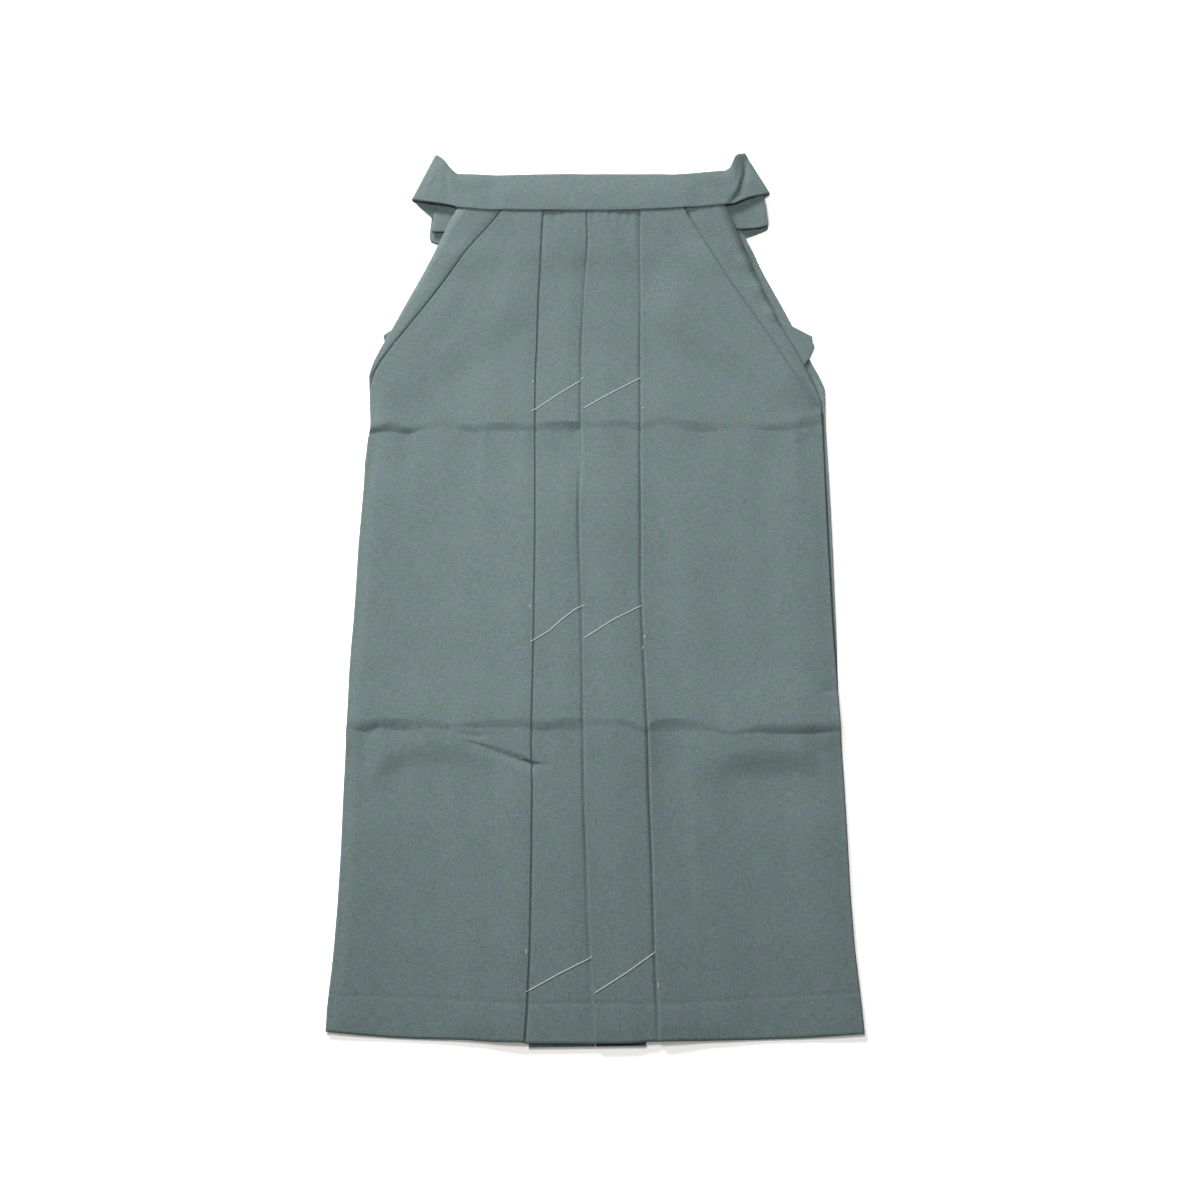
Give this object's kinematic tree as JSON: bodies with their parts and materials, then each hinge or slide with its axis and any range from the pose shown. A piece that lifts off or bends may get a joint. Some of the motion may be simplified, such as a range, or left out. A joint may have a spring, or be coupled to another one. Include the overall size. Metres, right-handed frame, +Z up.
{
  "type": "hakama trousers",
  "caption": "Wide pleated hakama trousers of plain-woven cloth, pressed and laid flat with the front up, ties folded in behind the waistband.",
  "frame": {"origin": "middle of the footprint, on the surface that the trousers lie on", "axes": "+X to the viewer's right across the front, +Y from the hem to the waist, +Z up through the layers"},
  "size_m": [0.5181, 0.9874, 0.0141],
  "materials": {
    "plain_weave_cloth": "matt grey-green plain weave, faintly mottled",
    "basting_thread": "matt white cotton thread"
  },
  "bodies": {
    "root": {"back_left": "plain_weave_cloth", "back_right": "plain_weave_cloth", "gusset_left": "plain_weave_cloth", "gusset_right": "plain_weave_cloth", "front_left": "plain_weave_cloth", "front_right": "plain_weave_cloth", "front_waistband": "plain_weave_cloth", "back_waistband": "plain_weave_cloth", "tie_runs_under": "plain_weave_cloth", "tie_runs_inside": "plain_weave_cloth", "back_tie_left": "plain_weave_cloth", "back_tie_right": "plain_weave_cloth", "front_tie_left": "plain_weave_cloth", "front_tie_right": "plain_weave_cloth"}
  },
  "joints": []
}
